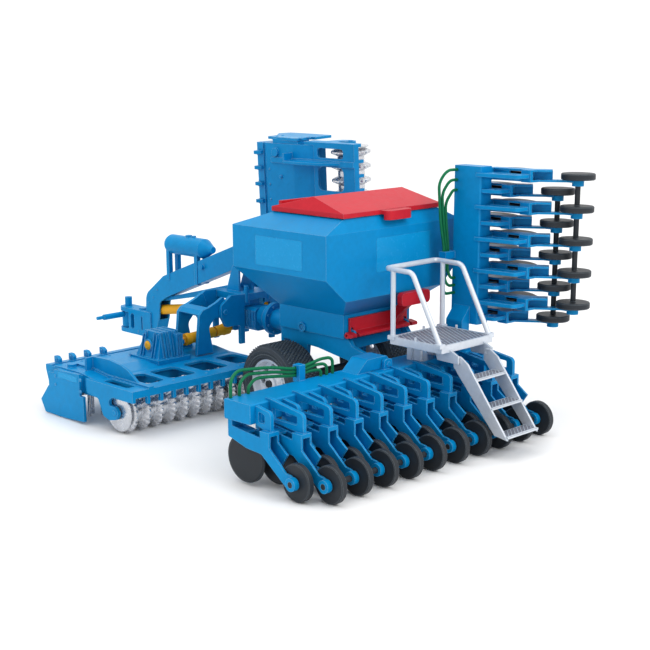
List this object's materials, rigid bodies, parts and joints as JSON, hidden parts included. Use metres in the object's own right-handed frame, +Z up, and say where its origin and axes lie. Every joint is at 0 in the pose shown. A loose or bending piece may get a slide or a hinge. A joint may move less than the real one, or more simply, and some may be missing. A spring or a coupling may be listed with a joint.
{
  "type": "toy seed drill",
  "caption": "Toy trailed seed drill: hipped hopper, folding harrow wings with packer rollers, folding coulter bar with press wheels, drawbar and link yoke.",
  "frame": {"origin": "on the ground under the middle of the whole toy's box, one wing of each pair folded up", "axes": "+X to the machine's right, +Y forward to the hitch, +Z up"},
  "size_m": [0.3012, 0.49, 0.2171],
  "materials": {
    "blue_plastic": "moulded, satin gloss",
    "red_plastic": "moulded, satin gloss",
    "yellow_plastic": "moulded, satin",
    "green_hose": "moulded hoses",
    "grey_plastic": "moulded, satin",
    "dark_plastic": "moulded, matt",
    "silver_plastic": "moulded, metallic sheen",
    "tyre_rubber": "soft moulded tyre"
  },
  "bodies": {
    "chassis": {"main_frame": "blue_plastic", "harrow_carrier": "blue_plastic", "drawbar": "blue_plastic", "air_tank": "blue_plastic", "blower": "blue_plastic", "gearbox_middle": "blue_plastic", "input_shaft": "yellow_plastic", "axle": "dark_plastic", "hopper": "blue_plastic", "platform": "grey_plastic", "railing": "grey_plastic", "coulter_bar_middle": "blue_plastic", "coulter_arms_middle": "blue_plastic", "disc_openers_middle": "dark_plastic"},
    "coulter_wing_left": {"coulter_bar_left": "blue_plastic", "coulter_arms_left": "blue_plastic", "disc_openers_left": "dark_plastic", "hoses_left": "green_hose"},
    "coulter_wing_right": {"coulter_bar_right": "blue_plastic", "coulter_arms_right": "blue_plastic", "disc_openers_right": "dark_plastic", "hoses_right": "green_hose"},
    "press_wheels_rear_left": {"press_wheels_rear_left": "dark_plastic"},
    "press_wheels_front_left": {"press_wheels_front_left": "dark_plastic"},
    "press_wheels_rear_middle": {"press_wheels_rear_middle": "dark_plastic"},
    "press_wheels_front_middle": {"press_wheels_front_middle": "dark_plastic"},
    "press_wheels_rear_right": {"press_wheels_rear_right": "dark_plastic"},
    "press_wheels_front_right": {"press_wheels_front_right": "dark_plastic"},
    "harrow_wing_left": {"harrow_frame_left": "blue_plastic", "harrow_end_plate_left": "blue_plastic", "harrow_tines_left": "dark_plastic", "harrow_gearbox_left": "blue_plastic"},
    "packer_roller_left": {"packer_roller_left": "silver_plastic"},
    "shaft_inner_left": {"shaft_inner_left": "yellow_plastic"},
    "shaft_outer_left": {"shaft_outer_left": "yellow_plastic"},
    "wheel_left": {"rim_left": "grey_plastic", "tyre_left": "tyre_rubber"},
    "harrow_wing_right": {"harrow_frame_right": "blue_plastic", "harrow_end_plate_right": "blue_plastic", "harrow_tines_right": "dark_plastic", "harrow_gearbox_right": "blue_plastic"},
    "packer_roller_right": {"packer_roller_right": "silver_plastic"},
    "shaft_inner_right": {"shaft_inner_right": "yellow_plastic"},
    "shaft_outer_right": {"shaft_outer_right": "yellow_plastic"},
    "wheel_right": {"rim_right": "grey_plastic", "tyre_right": "tyre_rubber"},
    "hopper_lid": {"hopper_lid": "red_plastic"},
    "outlet_flap": {"outlet_flap": "red_plastic"},
    "ladder": {"ladder": "grey_plastic"},
    "link_yoke": {"link_yoke": "blue_plastic"}
  },
  "joints": [
    {"name": "coulter_left_fold", "type": "hinge", "parent": "chassis", "child": "coulter_wing_left", "pos_m": [-0.00903, -0.145, 0.0631], "axis": [0, 1, 0], "range_deg": [0, 89]},
    {"name": "coulter_right_lower", "type": "hinge", "parent": "chassis", "child": "coulter_wing_right", "pos_m": [0.08517, -0.145, 0.0631], "axis": [0, 1, 0], "range_deg": [0, 89]},
    {"name": "harrow_left_fold", "type": "hinge", "parent": "chassis", "child": "harrow_wing_left", "pos_m": [0.00127, 0.0645, 0.0735], "axis": [0, 1, 0], "range_deg": [0, 92.5]},
    {"name": "harrow_right_lower", "type": "hinge", "parent": "chassis", "child": "harrow_wing_right", "pos_m": [0.07487, 0.0645, 0.0735], "axis": [0, 1, 0], "range_deg": [0, 92.5]},
    {"name": "press_wheels_rear_left_spin", "type": "hinge", "parent": "coulter_wing_left", "child": "press_wheels_rear_left", "pos_m": [-0.08693, -0.2165, 0.0132], "axis": [1, 0, 0], "continuous": true},
    {"name": "press_wheels_front_left_spin", "type": "hinge", "parent": "coulter_wing_left", "child": "press_wheels_front_left", "pos_m": [-0.08693, -0.1982, 0.0132], "axis": [1, 0, 0], "continuous": true},
    {"name": "press_wheels_rear_middle_spin", "type": "hinge", "parent": "chassis", "child": "press_wheels_rear_middle", "pos_m": [0.03807, -0.2165, 0.0132], "axis": [1, 0, 0], "continuous": true},
    {"name": "press_wheels_front_middle_spin", "type": "hinge", "parent": "chassis", "child": "press_wheels_front_middle", "pos_m": [0.03807, -0.1982, 0.0132], "axis": [1, 0, 0], "continuous": true},
    {"name": "press_wheels_rear_right_spin", "type": "hinge", "parent": "coulter_wing_right", "child": "press_wheels_rear_right", "pos_m": [0.13642, -0.2165, 0.14012], "axis": [0.0175, 0, 0.9998], "continuous": true},
    {"name": "press_wheels_front_right_spin", "type": "hinge", "parent": "coulter_wing_right", "child": "press_wheels_front_right", "pos_m": [0.13642, -0.1982, 0.14012], "axis": [0.0175, 0, 0.9998], "continuous": true},
    {"name": "packer_roller_left_spin", "type": "hinge", "parent": "harrow_wing_left", "child": "packer_roller_left", "pos_m": [-0.06518, 0.0165, 0.0175], "axis": [1, 0, 0], "continuous": true},
    {"name": "packer_roller_right_spin", "type": "hinge", "parent": "harrow_wing_right", "child": "packer_roller_right", "pos_m": [0.12792, 0.0165, 0.14233], "axis": [-0.0436, 0, 0.999], "continuous": true},
    {"name": "wheel_left_spin", "type": "hinge", "parent": "chassis", "child": "wheel_left", "pos_m": [-0.01743, -0.0445, 0.032], "axis": [1, 0, 0], "continuous": true},
    {"name": "wheel_right_spin", "type": "hinge", "parent": "chassis", "child": "wheel_right", "pos_m": [0.09357, -0.0445, 0.032], "axis": [1, 0, 0], "continuous": true},
    {"name": "shaft_inner_left_follow", "type": "hinge", "parent": "chassis", "child": "shaft_inner_left", "pos_m": [0.02107, 0.06, 0.0555], "axis": [0, 1, 0], "range_deg": [-1, 62]},
    {"name": "shaft_inner_right_follow", "type": "hinge", "parent": "chassis", "child": "shaft_inner_right", "pos_m": [0.05507, 0.06, 0.0555], "axis": [0, 1, 0], "range_deg": [-1, 62]},
    {"name": "shaft_outer_left_follow", "type": "hinge", "parent": "harrow_wing_left", "child": "shaft_outer_left", "pos_m": [-0.03793, 0.06, 0.052], "axis": [0, 1, 0], "range_deg": [-34, 1]},
    {"name": "shaft_outer_right_follow", "type": "hinge", "parent": "harrow_wing_right", "child": "shaft_outer_right", "pos_m": [0.09464, 0.06, 0.1136], "axis": [0, 1, 0], "range_deg": [-34, 1]},
    {"name": "lid_open", "type": "hinge", "parent": "chassis", "child": "hopper_lid", "pos_m": [0.03807, -0.0331, 0.1714], "axis": [-1, 0, 0], "range_deg": [0, 100]},
    {"name": "flap_open", "type": "hinge", "parent": "chassis", "child": "outlet_flap", "pos_m": [0.03807, -0.1015, 0.075], "axis": [1, 0, 0], "range_deg": [0, 30]},
    {"name": "ladder_fold", "type": "hinge", "parent": "chassis", "child": "ladder", "pos_m": [0.03807, -0.1965, 0.0685], "axis": [-1, 0, 0], "range_deg": [0, 125]},
    {"name": "yoke_swing", "type": "hinge", "parent": "chassis", "child": "link_yoke", "pos_m": [0.03807, 0.237, 0.041], "axis": [0, 0, 1], "range_deg": [-35, 35]}
  ],
  "couplings": [
    {"joint": "shaft_inner_left_follow", "follows": "harrow_left_fold", "ratio": 0.64},
    {"joint": "shaft_outer_left_follow", "follows": "harrow_left_fold", "ratio": -0.36},
    {"joint": "shaft_inner_right_follow", "follows": "harrow_right_lower", "ratio": 0.64},
    {"joint": "shaft_outer_right_follow", "follows": "harrow_right_lower", "ratio": -0.36}
  ]
}
